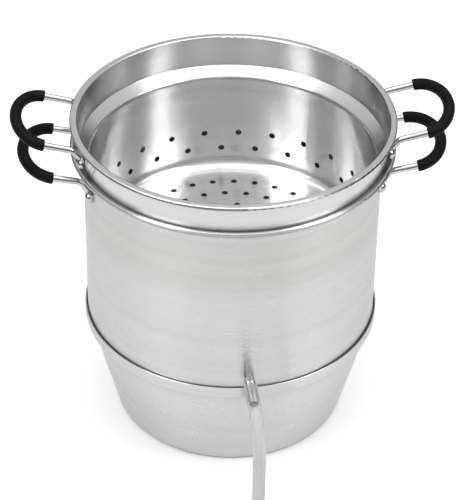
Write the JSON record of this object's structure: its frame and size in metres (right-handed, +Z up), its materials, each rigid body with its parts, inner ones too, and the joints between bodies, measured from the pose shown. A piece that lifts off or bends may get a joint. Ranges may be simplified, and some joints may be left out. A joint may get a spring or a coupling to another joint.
{
  "type": "steam juicer",
  "caption": "Stacked aluminium steam juicer: tapered water pan, juice kettle with outlet spout and clear hose, and a perforated steamer basket, with looped side handles.",
  "frame": {"origin": "middle of the water pan's flat base, on the surface it stands on", "axes": "+Z up along the tiers' common axis, handles along +X and -X, juice spout 2.5 degrees off -Y towards +X"},
  "size_m": [0.4012, 0.4786, 0.3303],
  "materials": {
    "satin_aluminium": "satin spun",
    "rivet_aluminium": "polished",
    "bright_steel": "polished",
    "spout_steel": "satin",
    "black_sleeve": "matte",
    "seal_rubber": "matte",
    "clear_hose": "translucent silicone"
  },
  "bodies": {
    "pan": {"water_pan": "satin_aluminium"},
    "kettle": {"juice_kettle": "satin_aluminium", "steam_cone": "satin_aluminium", "juice_spout": "spout_steel", "spout_nut": "spout_steel", "spout_gasket": "seal_rubber", "hose_cuff": "clear_hose", "juice_hose": "clear_hose", "kettle_handle_right": "bright_steel", "kettle_handle_left": "bright_steel", "kettle_grip_right": "black_sleeve", "kettle_grip_left": "black_sleeve", "kettle_rivets_right": "rivet_aluminium", "kettle_rivets_left": "rivet_aluminium"},
    "basket": {"steamer_basket": "satin_aluminium", "basket_handle_right": "bright_steel", "basket_handle_left": "bright_steel", "basket_grip_right": "black_sleeve", "basket_grip_left": "black_sleeve", "basket_rivets_right": "rivet_aluminium", "basket_rivets_left": "rivet_aluminium"}
  },
  "joints": [
    {"name": "kettle_lift", "type": "slide", "parent": "pan", "child": "kettle", "axis": [0, 0, 1], "range_m": [0, 0.06]},
    {"name": "basket_lift", "type": "slide", "parent": "kettle", "child": "basket", "axis": [0, 0, 1], "range_m": [0, 0.16]}
  ]
}
